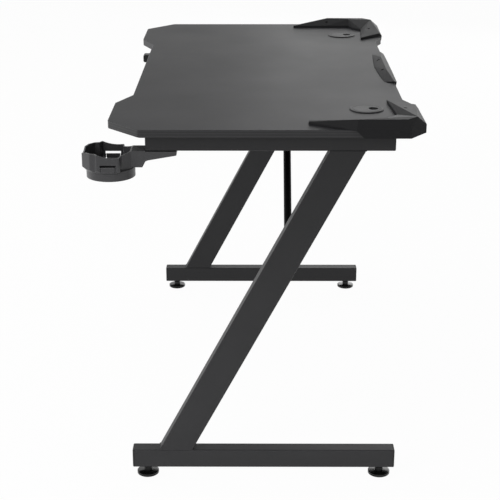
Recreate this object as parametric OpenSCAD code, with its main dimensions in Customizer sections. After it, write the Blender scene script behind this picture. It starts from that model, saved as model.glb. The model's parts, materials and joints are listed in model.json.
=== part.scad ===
// Gaming desk: a shaped board on two Z-shaped side frames of steel tube, with faceted corner
// and rear trims, cable grommets, a cup holder, a headphone hook and screw-in levelling feet.
// Millimetres. The origin is on the floor below the middle of the board. +X points to the
// user's right, +Y to the rear edge and +Z up.

/* [Desktop] */
// Length of the board from end to end
desk_length = 1100; // [1000:10:1400]
// Depth of the board over its front and rear bulges
desk_depth = 600; // [560:10:700]
// Height of the board's top above the floor with the feet screwed in
desk_height = 743; // [700:1:780]
// Thickness of the board
board_t = 15; // [15:1:22]
// Thickness of the edge banding
band_t = 1; // [0.5:0.5:2]
// Depth of the recess in the front edge
front_recess = 30; // [15:1:40]
// Length of each front bulge, from the end of the board to its inner shoulder
front_bulge = 213; // [190:1:230]
// Length along the edge of the slope from the front bulge into the recess
front_slope = 69; // [40:1:90]
// Depth of the recess in the rear edge
rear_recess = 18; // [10:1:26]
// Length of each rear bulge, from the end of the board to its inner shoulder
rear_bulge = 198; // [190:1:230]
// Length along the edge of the slope from the rear bulge into the recess
rear_slope = 44; // [30:1:60]
// Length of the front corner cut along the front edge
front_cut_x = 71; // [50:1:90]
// Length of the front corner cut along the end edge
front_cut_y = 65; // [45:1:80]
// Length of the rear corner cut along the rear edge
rear_cut_x = 39; // [30:1:45]
// Length of the rear corner cut along the end edge
rear_cut_y = 32; // [25:1:40]
// Rounding radius of the outline's corners
outline_r = 12; // [5:1:15]

/* [Side frames] */
// Distance from the end of the board to the outer face of a frame
frame_inset = 17; // [10:1:30]
// Wall thickness of all steel tubes
tube_wall = 1.5; // [1.2:0.1:2]
// Radius of a tube's outer corners
tube_r = 2.5; // [2:0.5:4]
// Width of the top rail, across the frame
rail_w = 40; // [36:1:50]
// Height of the top rail
rail_h = 30; // [28:1:40]
// Distance from the front of the board to the front end of the rail
rail_front_inset = 75; // [60:1:90]
// Distance from the rear of the board to the rear end of the rail
rail_rear_inset = 53; // [40:1:70]
// Width of the foot tube and of the diagonal, across the frame
foot_w = 30; // [28:1:36]
// Height of the foot tube
foot_h = 40; // [36:1:50]
// Distance from the front or rear of the board to the end of the foot tube
foot_end_inset = 30; // [15:1:60]
// Width of the diagonal, seen from the end of the desk
diag_w = 60; // [50:1:70]
// Distance from the diagonal to the foot's front end and to the rail's rear end
diag_inset = 55.5; // [50:0.5:70]
// Thickness of an end cap's flange
cap_t = 4; // [2:0.5:6]
// Length of an end cap's plug inside the tube
cap_plug = 12; // [8:1:16]
// Slope of an end cap's edge
cap_bevel = 1.5; // [0.5:0.5:2]

/* [Cross beams and braces] */
// Distance of each cross beam from the middle of the rails
beam_offset = 150; // [130:1:160]
// Width of a cross beam, front to rear
beam_w = 40; // [30:1:40]
// Height of a cross beam
beam_h = 25; // [20:1:28]
// Thickness of a beam's end plate
plate_t = 3; // [2:0.5:5]
// Width of a beam's end plate
plate_w = 72; // [70:1:80]
// Distance of a beam's bolts from the beam's middle
plate_bolt_y = 29; // [28:1:30]
// Distance of a beam's wood screws from the middle of the desk
beam_screw_x = 200; // [150:1:300]
// Diameter of a brace tube
brace_d = 15; // [12:1:20]
// Height of a brace, from its lower bolt to the underside of the board
brace_drop = 239; // [200:1:280]
// Lean of a brace from the vertical, in degrees
brace_lean = 41.7; // [38:0.1:45]
// Width of a brace's flattened end
tab_w = 20; // [18:1:24]
// Thickness of a brace's flattened end
tab_t = 4; // [3:0.5:5]
// Distance from a brace's bolt to the round part of its tube
tab_run = 42; // [38:1:50]

/* [Levelling feet] */
// Gap between the floor and the foot tube with the feet screwed in
foot_clear = 20; // [16:1:24]
// Distance from the front or rear of the board to a foot's centre
foot_y_inset = 60; // [58:1:120]
// Diameter of a foot's pad
pad_d = 45; // [36:1:48]
// Height of a foot's pad
pad_h = 8; // [6:1:10]
// Diameter of the stud's collar
collar_d = 16; // [14:1:18]
// Diameter of the stud's thread
stud_d = 8; // [8:1:10]
// Length of the stud inside the foot tube
stud_reach = 26; // [24:1:30]

/* [Trims] */
// Height of a trim's ridge above the board
wing_h = 18; // [12:1:24]
// Length of a corner trim along the rear edge, from the end of the board
wing_len = 219; // [200:1:230]
// Length of a corner trim along the end edge, from the rear of the board
wing_run = 217; // [200:1:240]
// Overhang of a corner trim past the end of the board
wing_end_over = 8; // [5:0.5:10]
// Overhang of the trims past the rear of the board
rear_over = 5; // [4:0.5:8]
// Height of the skirt's top above the board
skirt_rise = 2.5; // [1:0.5:4]
// Gap between the skirt's lower edge and the board's underside
skirt_gap = 1; // [0:0.5:3]
// Half-length of the centre trim
centre_half = 158; // [140:1:180]
// Depth of the centre trim on the board
centre_depth = 30; // [26:1:36]
// Height of the centre trim
centre_h = 10; // [8:1:14]

/* [Grommets] */
// Distance from the end of the board to a grommet's centre
grommet_x_inset = 160; // [150:1:200]
// Distance from the rear of the board to a grommet's centre
grommet_y_inset = 98; // [94:1:120]
// Diameter of the hole in the board
grommet_hole_d = 60; // [56:1:64]
// Width of the grommet's flange outside the hole
flange_w = 4; // [3:0.5:6]
// Thickness of the flange
flange_t = 2; // [1.5:0.5:3]
// Wall thickness of the liner
liner_wall = 2; // [1.5:0.5:3]
// Thickness of the cap
lid_t = 3; // [2:0.5:4]
// Diameter of the cable hole in the cap
cable_hole_d = 19; // [16:1:22]
// Wall thickness of the cable hole's collar
collar_wall = 1.5; // [1:0.5:2]
// Length of the cable hole's collar below the cap
collar_len = 8; // [5:1:10]

/* [Cup holder] */
// Width of the lobed ring
cup_d = 103; // [99:1:108]
// Outer diameter of the base
cup_base_d = 93; // [90:1:95]
// Height of the cup
cup_h = 53; // [45:1:60]
// Height of the base below the lobed ring
cup_base_h = 18; // [14:1:22]
// Wall thickness of the cup
cup_wall = 2.6; // [2:0.2:3]
// Distance from the rail's front end to the cup's centre
cup_reach = 68; // [66:1:76]
// Rounding of the ring's lobes
lobe_r = 4; // [2:0.5:5]
// Depth of the dip in the rim over each panel
rim_dip = 6.5; // [3:0.5:8]
// Length of the arm under the rail
arm_len = 59; // [55:1:70]
// Height of the arm's root at the cup
arm_root_h = 32; // [28:1:34]
// Thickness of the arm at its end
arm_end_t = 9; // [8:0.5:11]

/* [Headphone hook] */
// Width of the hook
hook_w = 26; // [20:1:34]
// Distance from the rail's front end to the hook's nose
hook_reach = 91; // [80:1:100]
// Distance from the rail's underside to the hook's lowest face
hook_drop = 48; // [44:1:60]
// Height of the hook's nose
hook_nose_h = 19.5; // [16:0.5:24]
// Depth of the saddle behind the nose
saddle_depth = 9.5; // [7:0.5:12]

/* [Hidden] */

$fn = 64;
// Overrun of a cut past the face that it opens
over = 1;
// Clearance of a plug or a liner in its hole, on each side
fit = 0.2;
// Chords in each rounded corner of an outline
arc_steps = 8;
// Facets of a round shape that is blended into another
blend_fn = 32;

half_length = desk_length / 2;
half_depth = desk_depth / 2;
board_bottom = desk_height - board_t;

frame_x = half_length - frame_inset;
rail_x = frame_x - rail_w;
rail_mid_x = frame_x - rail_w / 2;
rail_z = board_bottom - rail_h;
rail_front = rail_front_inset - half_depth;
rail_rear = half_depth - rail_rear_inset;
rail_mid_y = (rail_front + rail_rear) / 2;
foot_x = frame_x - foot_w;
foot_mid_x = frame_x - foot_w / 2;
foot_end = half_depth - foot_end_inset;
foot_top = foot_clear + foot_h;
foot_y = half_depth - foot_y_inset;

// The diagonal's tilt from the vertical, so that both of its ends meet their insets
diag_run = rail_rear - diag_inset + foot_end - diag_inset;
diag_rise = rail_z - foot_top;
diag_tilt = acos(diag_w / norm([diag_run, diag_rise])) - atan2(diag_rise, diag_run);
diag_span = diag_w / cos(diag_tilt);
// Front edge of the diagonal at height z
function diag_y(z) = diag_inset - foot_end + (z - foot_top) * tan(diag_tilt);

// Screw sizes: M6 bolts, their heads, nuts and threaded inserts
bolt_d = 6;
bolt_play = 0.3;
bolt_head_d = 11.5;
bolt_head_h = 4;
nut_h = 5;
thread_play = 0.1;
insert_d = 9;
insert_cover = 4;
insert_len = board_t - insert_cover;
// Wood screws and self-tapping screws
wood_d = 3.5;
wood_head_d = 7;
wood_head_h = 2.5;
wood_bite = 10;
tap_d = 4.8;
tap_head_d = 9;
tap_head_h = 3;
tap_seat = 5;
tap_end = 8;
access_d = 14;
// The foot nut over the stud
foot_nut_d = 15;
foot_nut_h = 6.5;
stud_play = 0.08;
stud_root = 5;

// Bolts from the rails into the board
rail_bolt_front = 90;
rail_bolt_rear = 40;
rail_bolt_ys = [rail_front + rail_bolt_front, rail_mid_y, rail_rear - rail_bolt_rear];
plate_bolt_z = rail_z + rail_h / 2;
beam_ys = [rail_mid_y - beam_offset, rail_mid_y + beam_offset];
beam_x = rail_x - plate_t;

brace_z = board_bottom - brace_drop;
brace_y = diag_y(brace_z) + diag_span / 2;
brace_len = brace_drop / cos(brace_lean);
brace_top_x = foot_x - brace_drop * tan(brace_lean);
// Growth of the tube's diameter where its end begins to flatten
brace_swell = 0.6;

cup_x = rail_mid_x;
cup_y = rail_front - cup_reach;
cup_floor = rail_z - cup_h;
tap_margin = 6;
tap_ys = [rail_front + cap_t + cap_plug + tap_margin, rail_front + arm_len - 2 * tap_margin];

grommet_x = half_length - grommet_x_inset;
grommet_y = half_depth - grommet_y_inset;
liner_in = grommet_hole_d / 2 - fit - liner_wall;
ledge_w = 2.5;
// Running clearance of a cap in its liner, and of its collar inside the ledge
cap_play = 0.1;
collar_play = 0.8;
// Distance from the cap's centre to its cable hole
cable_hole_y = liner_in - ledge_w - collar_play - collar_wall - cable_hole_d / 2;

skirt_z = board_bottom + skirt_gap;
// Height by which a skirt reaches into its trim
skirt_join = 0.5;
skirt_top = desk_height + skirt_join;

// Screws of the trims: places on the board and the height of their heads' seats
screw_seat = 3;
wing_screws_share = [[0.145, 0.594], [0.578, 0.117]];
wing_screw_places = [for (share = wing_screws_share)
    [half_length - share[0] * wing_len, half_depth - share[1] * wing_run]];
centre_screw_share = [0.33, 0.55];
centre_screw_place = [centre_half * centre_screw_share[0],
    half_depth - rear_recess - centre_depth * centre_screw_share[1]];
trim_screw_places = concat(wing_screw_places, [centre_screw_place]);

/* Rounded outlines */

function unit(v) = v / norm(v);

// The points of a corner at b between a and c, rounded to radius r
function corner_arc(a, b, c, r) = r == 0 ? [b] : let (
    to_a = unit(a - b),
    to_c = unit(c - b),
    half = acos(to_a * to_c) / 2,
    start = to_a * r / tan(half),
    centre = unit(to_a + to_c) * r / sin(half),
    first = atan2((start - centre)[1], (start - centre)[0]),
    last_point = to_c * r / tan(half) - centre,
    last = atan2(last_point[1], last_point[0]),
    turn = ((last - first + 540) % 360) - 180)
    [for (i = [0 : arc_steps]) let (angle = first + turn * i / arc_steps)
        b + centre + r * [cos(angle), sin(angle)]];

// A closed outline with one radius for each of its corners
function rounded(points, radii) = let (count = len(points))
    [for (i = [0 : count - 1])
        each corner_arc(points[(i + count - 1) % count], points[i], points[(i + 1) % count],
            is_list(radii) ? radii[i] : radii)];

// A counter-clockwise outline moved inwards by a distance
function inset(points, distance) = let (count = len(points))
    [for (i = [0 : count - 1]) let (
        before = unit(points[i] - points[(i + count - 1) % count]),
        after = unit(points[(i + 1) % count] - points[i]),
        n_before = [-before[1], before[0]],
        n_after = [-after[1], after[0]])
        points[i] + distance * (n_before + n_after) / (1 + n_before * n_after)];

// The right half of the board's outline from the front middle to the rear middle
board_half = [
    [half_length - front_bulge - front_slope, front_recess - half_depth],
    [half_length - front_bulge, -half_depth],
    [half_length - front_cut_x, -half_depth],
    [half_length, front_cut_y - half_depth],
    [half_length, half_depth - rear_cut_y],
    [half_length - rear_cut_x, half_depth],
    [half_length - rear_bulge, half_depth],
    [half_length - rear_bulge - rear_slope, half_depth - rear_recess]];
board_outline = concat(board_half,
    [for (i = [len(board_half) - 1 : -1 : 0]) [-board_half[i][0], board_half[i][1]]]);

/* Helpers */

module block(low, size) {
    translate(low) cube(size);
}

// Draws its children on both sides of the desk
module both_sides() {
    children();
    mirror([1, 0, 0]) children();
}

// A profile of the Y-Z plane, drawn out along +X from x
module side_profile(x, width) {
    translate([x, 0, 0]) rotate([90, 0, 90]) linear_extrude(height = width) children();
}

// A profile of the X-Z plane, drawn out along +Y from y
module front_profile(y, depth) {
    translate([0, y + depth, 0]) rotate([90, 0, 0]) linear_extrude(height = depth) children();
}

// A convex solid with the given corners
module convex(corners) {
    hull() polyhedron(points = corners, faces = [[for (i = [0 : len(corners) - 1]) i]]);
}

// A hexagonal nut on the floor of its own frame
module nut(across, height, bore) {
    difference() {
        cylinder(d = across, h = height, $fn = 6);
        translate([0, 0, -over]) cylinder(d = bore, h = height + 2 * over);
    }
}

// A bolt whose head's underside is at the origin and whose shank points up
module bolt(shank_d, length, head_d, head_h) {
    translate([0, 0, -head_h]) cylinder(d = head_d, h = head_h);
    cylinder(d = shank_d, h = length);
}

// The section of a rectangular tube between two corners, moved inwards by a wall
module tube_section(width, height, wall = 0) {
    polygon(rounded([[wall, wall], [width - wall, wall], [width - wall, height - wall],
        [wall, height - wall]], tube_r - wall));
}

// A tube along +Y, open at both ends, with its lowest corner at low
module tube_along_y(low, width, length, height) {
    translate([low[0], low[1] + length, low[2]]) rotate([90, 0, 0]) difference() {
        linear_extrude(height = length) tube_section(width, height);
        translate([0, 0, -over]) linear_extrude(height = length + 2 * over)
            tube_section(width, height, tube_wall);
    }
}

/* Board */

module board_holes() {
    both_sides() {
        for (y = rail_bolt_ys)
            translate([rail_mid_x, y, board_bottom - over])
                cylinder(d = insert_d + 2 * thread_play, h = insert_len + over);
        translate([brace_top_x, brace_y, board_bottom - over])
            cylinder(d = insert_d + 2 * thread_play, h = insert_len + over);
        for (y = beam_ys)
            translate([beam_screw_x, y, board_bottom - over])
                cylinder(d = wood_d + 2 * thread_play, h = wood_bite + over);
        translate([grommet_x, grommet_y, board_bottom - over])
            cylinder(d = grommet_hole_d, h = board_t + 2 * over);
        for (place = trim_screw_places)
            translate([place[0], place[1], desk_height - wood_bite])
                cylinder(d = wood_d + 2 * thread_play, h = wood_bite + over);
    }
}

module desktop() {
    color("#3a3a3c") difference() {
        translate([0, 0, board_bottom]) linear_extrude(height = board_t)
            polygon(rounded(inset(board_outline, band_t), outline_r));
        board_holes();
    }
}

module edge_band() {
    color("#2c2c2e") translate([0, 0, board_bottom]) difference() {
        linear_extrude(height = board_t) polygon(rounded(board_outline, outline_r));
        translate([0, 0, -over]) linear_extrude(height = board_t + 2 * over)
            polygon(rounded(inset(board_outline, band_t), outline_r));
    }
}

module board_inserts() {
    color("#8f8a7c") both_sides() {
        for (place = concat([for (y = rail_bolt_ys) [rail_mid_x, y]], [[brace_top_x, brace_y]]))
            translate([place[0], place[1], board_bottom]) difference() {
                cylinder(d = insert_d, h = insert_len);
                translate([0, 0, -over])
                    cylinder(d = bolt_d + 2 * thread_play, h = insert_len + 2 * over);
            }
    }
}

/* Side frames */

module rail() {
    color("#2b2b2d") difference() {
        tube_along_y([rail_x, rail_front + cap_t, rail_z], rail_w,
            rail_rear - rail_front - 2 * cap_t, rail_h);
        for (y = rail_bolt_ys) {
            translate([rail_mid_x, y, rail_z - over]) cylinder(d = access_d, h = tube_wall + 2 * over);
            translate([rail_mid_x, y, board_bottom - tube_wall - over])
                cylinder(d = bolt_d + 2 * bolt_play, h = tube_wall + 2 * over);
        }
        for (y = beam_ys, side = [-1, 1])
            translate([rail_x - over, y + side * plate_bolt_y, plate_bolt_z]) rotate([0, 90, 0])
                cylinder(d = bolt_d + 2 * bolt_play, h = tube_wall + 2 * over);
        for (y = tap_ys)
            translate([rail_mid_x, y, rail_z - over])
                cylinder(d = tap_d + 2 * thread_play, h = tube_wall + 2 * over);
    }
}

module left_rail() {
    mirror([1, 0, 0]) rail();
}

module right_rail() {
    rail();
}

module diagonal() {
    color("#2b2b2d") difference() {
        // A tube along the tilt, cut level at both ends
        intersection() {
            translate([foot_x, diag_y(foot_top), foot_top]) rotate([-diag_tilt, 0, 0])
                translate([0, 0, -diag_w]) difference() {
                    linear_extrude(height = diag_rise / cos(diag_tilt) + 2 * diag_w)
                        tube_section(foot_w, diag_span * cos(diag_tilt));
                    translate([0, 0, -over])
                        linear_extrude(height = diag_rise / cos(diag_tilt) + 2 * (diag_w + over))
                            tube_section(foot_w, diag_span * cos(diag_tilt), tube_wall);
                }
            block([foot_x - over, -half_depth, foot_top], [foot_w + 2 * over, desk_depth, diag_rise]);
        }
        translate([foot_x - over, brace_y, brace_z]) rotate([0, 90, 0])
            cylinder(d = bolt_d + 2 * bolt_play, h = tube_wall + 2 * over);
    }
}

module left_diagonal() {
    mirror([1, 0, 0]) diagonal();
}

module right_diagonal() {
    diagonal();
}

module foot_tube() {
    color("#2b2b2d") difference() {
        tube_along_y([foot_x, cap_t - foot_end, foot_clear], foot_w, 2 * (foot_end - cap_t), foot_h);
        for (side = [-1, 1])
            translate([foot_mid_x, side * foot_y, foot_clear - over])
                cylinder(d = stud_d + 2 * bolt_play, h = tube_wall + 2 * over);
    }
}

module left_foot_tube() {
    mirror([1, 0, 0]) foot_tube();
}

module right_foot_tube() {
    foot_tube();
}

// A tube's end cap: its flange's outer face is at y = 0 and its plug points to +Y
module end_cap(width, height) {
    color("#1c1c1e") {
        plug = tube_wall + fit;
        translate([0, cap_t, 0]) rotate([90, 0, 0]) hull() {
            linear_extrude(height = cap_t) tube_section(width, height, cap_bevel);
            linear_extrude(height = cap_t - cap_bevel) tube_section(width, height);
        }
        difference() {
            block([plug, cap_t, plug], [width - 2 * plug, cap_plug, height - 2 * plug]);
            block([2 * plug, cap_t + over, 2 * plug],
                [width - 4 * plug, cap_plug, height - 4 * plug]);
        }
    }
}

module rail_caps() {
    translate([rail_x, rail_front, rail_z]) end_cap(rail_w, rail_h);
    translate([rail_x, rail_rear, rail_z]) mirror([0, 1, 0]) end_cap(rail_w, rail_h);
}

module left_rail_caps() {
    mirror([1, 0, 0]) rail_caps();
}

module right_rail_caps() {
    rail_caps();
}

module foot_caps() {
    translate([foot_x, -foot_end, foot_clear]) end_cap(foot_w, foot_h);
    translate([foot_x, foot_end, foot_clear]) mirror([0, 1, 0]) end_cap(foot_w, foot_h);
}

module left_foot_caps() {
    mirror([1, 0, 0]) foot_caps();
}

module right_foot_caps() {
    foot_caps();
}

/* Cross beams */

module beam(y) {
    color("#29292b") difference() {
        translate([-beam_x, y - beam_w / 2, board_bottom - beam_h]) rotate([90, 0, 90]) {
            difference() {
                linear_extrude(height = 2 * beam_x) tube_section(beam_w, beam_h);
                translate([0, 0, -over]) linear_extrude(height = 2 * (beam_x + over))
                    tube_section(beam_w, beam_h, tube_wall);
            }
        }
        for (side = [-1, 1])
            translate([side * beam_screw_x, y, board_bottom - beam_h - over])
                cylinder(d = wood_d + 2 * bolt_play, h = beam_h + 2 * over);
    }
}

module front_beam() {
    beam(beam_ys[0]);
}

module rear_beam() {
    beam(beam_ys[1]);
}

module beam_plates(y) {
    color("#29292b") both_sides() difference() {
        block([beam_x, y - plate_w / 2, rail_z], [plate_t, plate_w, rail_h]);
        for (side = [-1, 1])
            translate([beam_x - over, y + side * plate_bolt_y, plate_bolt_z]) rotate([0, 90, 0])
                cylinder(d = bolt_d + 2 * bolt_play, h = plate_t + 2 * over);
    }
}

module front_beam_plates() {
    beam_plates(beam_ys[0]);
}

module rear_beam_plates() {
    beam_plates(beam_ys[1]);
}

// Places its children at each bolt of the beams, pointing to +X
module at_beam_bolts(x) {
    both_sides() for (y = beam_ys, side = [-1, 1])
        translate([x, y + side * plate_bolt_y, plate_bolt_z]) rotate([0, 90, 0]) children();
}

module beam_bolts() {
    color("#4a4a4c") at_beam_bolts(beam_x)
        bolt(bolt_d, plate_t + tube_wall + nut_h + over, bolt_head_d, bolt_head_h);
}

module beam_nuts() {
    color("#8f8a7c") at_beam_bolts(rail_x + tube_wall)
        nut(bolt_head_d, nut_h, bolt_d + 2 * thread_play);
}

module beam_screws() {
    color("#4a4a4c") both_sides() for (y = beam_ys)
        translate([beam_screw_x, y, board_bottom - beam_h])
            bolt(wood_d, beam_h + wood_bite - over, wood_head_d, wood_head_h);
}

module rail_bolts() {
    color("#4a4a4c") both_sides() {
        for (y = rail_bolt_ys)
            translate([rail_mid_x, y, board_bottom - tube_wall])
                bolt(bolt_d, tube_wall + insert_len - over, bolt_head_d, bolt_head_h);
        translate([brace_top_x, brace_y, board_bottom - tab_t])
            bolt(bolt_d, tab_t + insert_len - over, bolt_head_d, bolt_head_h);
    }
}

/* Braces */

// The brace's own frame: the origin at its lower bolt and +Z along the tube
module along_brace() {
    translate([foot_x, brace_y, brace_z]) rotate([0, -brace_lean, 0]) children();
}

module brace() {
    neck = tab_w / 2;
    color("#141415") difference() {
        union() {
            along_brace() translate([0, 0, tab_run - over])
                cylinder(d = brace_d, h = brace_len - 2 * (tab_run - over));
            // Lower tab, flat on the diagonal
            hull() {
                translate([foot_x - tab_t, brace_y, brace_z]) rotate([0, 90, 0])
                    cylinder(d = tab_w, h = tab_t, $fn = blend_fn);
                block([foot_x - tab_t, brace_y - tab_w / 2, brace_z], [tab_t, tab_w, neck]);
            }
            hull() {
                block([foot_x - tab_t, brace_y - tab_w / 2, brace_z], [tab_t, tab_w, neck]);
                along_brace() translate([0, 0, tab_run])
                    cylinder(d = brace_d + brace_swell, h = over, $fn = blend_fn);
            }
            // Upper tab, flat on the board
            hull() {
                translate([brace_top_x, brace_y, board_bottom - tab_t])
                    cylinder(d = tab_w, h = tab_t, $fn = blend_fn);
                block([brace_top_x, brace_y - tab_w / 2, board_bottom - tab_t], [neck, tab_w, tab_t]);
            }
            hull() {
                block([brace_top_x, brace_y - tab_w / 2, board_bottom - tab_t], [neck, tab_w, tab_t]);
                along_brace() translate([0, 0, brace_len - tab_run - over])
                    cylinder(d = brace_d + brace_swell, h = over, $fn = blend_fn);
            }
        }
        translate([foot_x - tab_t - over, brace_y, brace_z]) rotate([0, 90, 0])
            cylinder(d = bolt_d + 2 * bolt_play, h = tab_t + 2 * over);
        translate([foot_x - tab_t - bolt_head_h - over, brace_y, brace_z]) rotate([0, 90, 0])
            cylinder(d = bolt_head_d + 2 * bolt_play, h = bolt_head_h + over);
        translate([brace_top_x, brace_y, board_bottom - tab_t - over])
            cylinder(d = bolt_d + 2 * bolt_play, h = tab_t + 2 * over);
        translate([brace_top_x, brace_y, board_bottom - tab_t - bolt_head_h - over])
            cylinder(d = bolt_head_d + 2 * bolt_play, h = bolt_head_h + over);
    }
}

module left_brace() {
    mirror([1, 0, 0]) brace();
}

module right_brace() {
    brace();
}

module brace_bolts() {
    color("#4a4a4c") both_sides() translate([foot_x - tab_t, brace_y, brace_z]) rotate([0, 90, 0])
        bolt(bolt_d, tab_t + tube_wall + nut_h + over, bolt_head_d, bolt_head_h);
}

module brace_nuts() {
    color("#8f8a7c") both_sides() translate([foot_x + tube_wall, brace_y, brace_z]) rotate([0, 90, 0])
        nut(bolt_head_d, nut_h, bolt_d + 2 * thread_play);
}

/* Levelling feet */

// The pad's ribbed rim and its sloped top, as shares of its diameter and its height
pad_shares = [[0.94, 0], [1, 0.15], [1, 0.3], [0.94, 0.42], [1, 0.54], [1, 0.72], [0.88, 0.85],
    [0.44, 1]];

// A ribbed pad with the socket of its stud
module pad() {
    color("#171718") difference() {
        rotate_extrude() polygon(concat([[0, 0]],
            [for (share = pad_shares) [share[0] * pad_d / 2, share[1] * pad_h]], [[0, pad_h]]));
        translate([0, 0, pad_h - stud_root]) cylinder(d = stud_d, h = stud_root + over);
    }
}

// The collar's waist, as shares of its diameter and its height
collar_shares = [[1, 0], [1, 0.55], [0.88, 0.65], [1, 0.75], [1, 1]];

// A threaded stud with the collar that stops it at the foot tube
module stud() {
    collar = foot_clear - pad_h;
    color("#232324") {
        translate([0, 0, pad_h - stud_root]) cylinder(d = stud_d, h = stud_root + over);
        translate([0, 0, pad_h]) rotate_extrude() polygon(concat([[0, 0]],
            [for (share = collar_shares) [share[0] * collar_d / 2, share[1] * collar]],
            [[0, collar]]));
        translate([0, 0, foot_clear - over]) cylinder(d = stud_d, h = stud_reach + over);
    }
}

module at_foot(x_side, y_side) {
    translate([x_side * foot_mid_x, y_side * foot_y, 0]) children();
}

module front_left_pad() {
    at_foot(-1, -1) pad();
}

module front_right_pad() {
    at_foot(1, -1) pad();
}

module rear_left_pad() {
    at_foot(-1, 1) pad();
}

module rear_right_pad() {
    at_foot(1, 1) pad();
}

module front_left_stud() {
    at_foot(-1, -1) stud();
}

module front_right_stud() {
    at_foot(1, -1) stud();
}

module rear_left_stud() {
    at_foot(-1, 1) stud();
}

module rear_right_stud() {
    at_foot(1, 1) stud();
}

module foot_nuts() {
    color("#8f8a7c") for (x_side = [-1, 1], y_side = [-1, 1]) at_foot(x_side, y_side)
        translate([0, 0, foot_clear + tube_wall])
            nut(foot_nut_d, foot_nut_h, stud_d + 2 * stud_play);
}

/* Trims */

// A point of the corner trim: its distances from the end and from the rear of the board as
// shares of the trim's length and run, and its height as a share of the ridge's height
function wing_point(share) = [half_length - share[0] * wing_len, half_depth - share[1] * wing_run,
    desk_height + share[2] * wing_h];
// The top of the inner wall over a point of its foot, leaning outwards
function wing_wall(share) = wing_point([share[0] * wall_lean_share, share[1] * wall_lean_share,
    wall_share]);
// A point on the trim's outer face past the end or past the rear of the board
function wing_end_point(y_share, rise) =
    [half_length + wing_end_over, half_depth - y_share * wing_run, desk_height + rise];
function wing_rear_point(x_share, rise) =
    [half_length - x_share * wing_len, half_depth + rear_over, desk_height + rise];

// Shares of the corner trim's points, from the front tip of the long leg to the rear
// Height of the inner wall all along its foot, and its lean
wall_share = 0.28;
wall_lean_share = 0.995;
// Front tip of the long leg
tip_in_share = [0.235, 1, 0];
tip_out_share = [0.196, 1, 0];
tip_edge_share = [0.2, 0.998, 0.24];
// Fold where the ridge reaches its full height
fold_foot_share = [0.235, 0.595, 0];
fold_ridge_share = [0.046, 0.582, 1];
fold_end_share = 0.598;
// Bend where the inner wall turns towards the short leg
bend_foot_share = [0.235, 0.332, 0];
bend_shelf_share = [0.1, 0.332, 1];
bend_ridge_share = [0.046, 0.332, 1];
// Rear end of the ridge, the shelf inside it and the peak
ridge_end_share = [0.05, 0.152, 1];
shelf_share = [0.132, 0.23, 1];
peak_share = [0.151, 0.06, 1];
// Outer corner of the trim
corner_end_share = 0.129;
corner_rear_share = 0.164;
// Inner corner where the two legs meet
inner_side_share = [0.365, 0.29, 0];
inner_rear_share = [0.457, 0.203, 0];
// Tip of the short leg and the heel at the rear edge
short_tip_share = [1, 0.243, 0];
heel_share = [0.776, 0.003, 0.43];

wing_skirt_outline = [
    [half_length, half_depth - fold_end_share * wing_run],
    [half_length + wing_end_over, half_depth - fold_end_share * wing_run],
    [half_length + wing_end_over, half_depth - corner_end_share * wing_run],
    [half_length - corner_rear_share * wing_len, half_depth + rear_over],
    [half_length - heel_share[0] * wing_len, half_depth + rear_over],
    [half_length - heel_share[0] * wing_len, half_depth],
    [half_length - rear_cut_x, half_depth],
    [half_length, half_depth - rear_cut_y]];

// The skirt over the board's edge, its two ends cut on a slope
module wing_skirt() {
    depth = skirt_top - skirt_z;
    front_y = half_depth - fold_end_share * wing_run;
    heel_x = half_length - heel_share[0] * wing_len;
    intersection() {
        translate([0, 0, skirt_z]) linear_extrude(height = depth) polygon(wing_skirt_outline);
        side_profile(heel_x, wing_len + wing_end_over) polygon([
            [front_y, skirt_top], [front_y + depth, skirt_z],
            [half_depth + rear_over, skirt_z], [half_depth + rear_over, skirt_top]]);
        front_profile(front_y, wing_run + rear_over) polygon([
            [heel_x, skirt_top], [heel_x + depth, skirt_z],
            [half_length + wing_end_over, skirt_z], [half_length + wing_end_over, skirt_top]]);
    }
}

module corner_trim() {
    color("#1f1f21") difference() {
        union() {
            // Long leg, from its tip to the fold
            convex([for (s = [tip_in_share, tip_out_share, tip_edge_share, fold_foot_share,
                    fold_ridge_share]) wing_point(s),
                wing_wall(tip_in_share), wing_wall(fold_foot_share),
                wing_end_point(fold_end_share, 0), wing_end_point(fold_end_share, skirt_rise)]);
            // Long leg, from the fold to the bend
            convex([for (s = [fold_foot_share, fold_ridge_share, bend_foot_share,
                    bend_shelf_share, bend_ridge_share]) wing_point(s),
                wing_wall(fold_foot_share), wing_wall(bend_foot_share),
                wing_end_point(fold_end_share, 0), wing_end_point(fold_end_share, skirt_rise),
                wing_end_point(bend_foot_share[1], 0), wing_end_point(bend_foot_share[1], skirt_rise)]);
            // The corner block under the peak
            convex([for (s = [bend_foot_share, bend_shelf_share, bend_ridge_share, ridge_end_share,
                    shelf_share, peak_share, inner_side_share, inner_rear_share]) wing_point(s),
                for (s = [bend_foot_share, inner_side_share, inner_rear_share]) wing_wall(s),
                wing_end_point(bend_foot_share[1], 0), wing_end_point(bend_foot_share[1], skirt_rise),
                wing_end_point(corner_end_share, 0), wing_end_point(corner_end_share, skirt_rise),
                wing_rear_point(corner_rear_share, 0),
                wing_rear_point(corner_rear_share, skirt_rise)]);
            // Short leg, from the peak to its tip
            convex([for (s = [peak_share, inner_rear_share, short_tip_share, heel_share]) wing_point(s),
                wing_wall(inner_rear_share), wing_wall(short_tip_share),
                wing_rear_point(corner_rear_share, 0),
                wing_rear_point(corner_rear_share, skirt_rise),
                wing_rear_point(heel_share[0], 0)]);
            wing_skirt();
        }
        for (place = wing_screw_places) screw_well(place);
    }
}

// Clears a trim above a screw's head and round its shank
module screw_well(place) {
    translate([place[0], place[1], desk_height + screw_seat])
        cylinder(d = wood_head_d + 2 * fit, h = wing_h);
    translate([place[0], place[1], desk_height - over])
        cylinder(d = wood_d + 2 * fit, h = screw_seat + 2 * over);
}

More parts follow.
